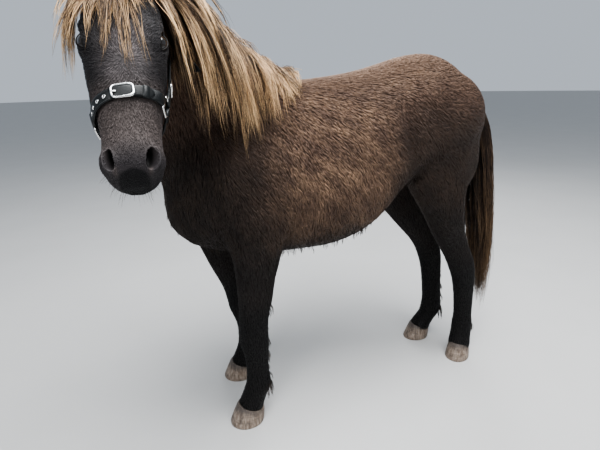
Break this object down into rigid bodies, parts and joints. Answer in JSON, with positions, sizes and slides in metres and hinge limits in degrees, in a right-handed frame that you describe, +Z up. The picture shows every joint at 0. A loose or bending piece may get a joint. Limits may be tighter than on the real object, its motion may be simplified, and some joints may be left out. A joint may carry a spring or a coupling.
{
  "type": "shetland pony",
  "caption": "Small stocky pony standing still, face turned to its left, with a thick mane, long tail, winter coat and a buckled headcollar.",
  "frame": {"origin": "middle of the model's bounding box on the floor, level with the soles of the hooves", "axes": "+Z up; the pony faces -X, so +X points to its tail; -Y is its left side, +Y its right side"},
  "size_m": [1.2696, 0.659, 1.2378],
  "materials": {
    "coat": "soft dark brown hair",
    "mane": "dark hair with golden tips",
    "tail_hair": "long dark hair",
    "horn": "dull horn",
    "eye": "wet gloss",
    "leather": "worn satin",
    "metal": "bright nickel"
  },
  "bodies": {
    "root": {"ear_left": "coat", "ear_right": "coat", "eye_left": "eye", "eye_right": "eye", "fore_left_hoof": "horn", "fore_left_leg": "coat", "fore_right_hoof": "horn", "fore_right_leg": "coat", "halter_buckle_cheek": "metal", "halter_buckle_nose": "metal", "halter_cheekpiece_left": "leather", "halter_cheekpiece_right": "leather", "halter_chinband": "leather", "halter_crownpiece": "leather", "halter_end_strap": "leather", "halter_noseband": "leather", "halter_ring_cheek_left": "metal", "halter_ring_cheek_right": "metal", "halter_ring_lead": "metal", "halter_ring_nose_left": "metal", "halter_ring_nose_right": "metal", "halter_throatlash": "leather", "head": "coat", "hind_left_hoof": "horn", "hind_left_lower_leg": "coat", "hind_left_upper_leg": "coat", "hind_right_hoof": "horn", "hind_right_lower_leg": "coat", "hind_right_upper_leg": "coat", "neck": "mane", "tail": "tail_hair", "torso": "coat"}
  },
  "joints": []
}
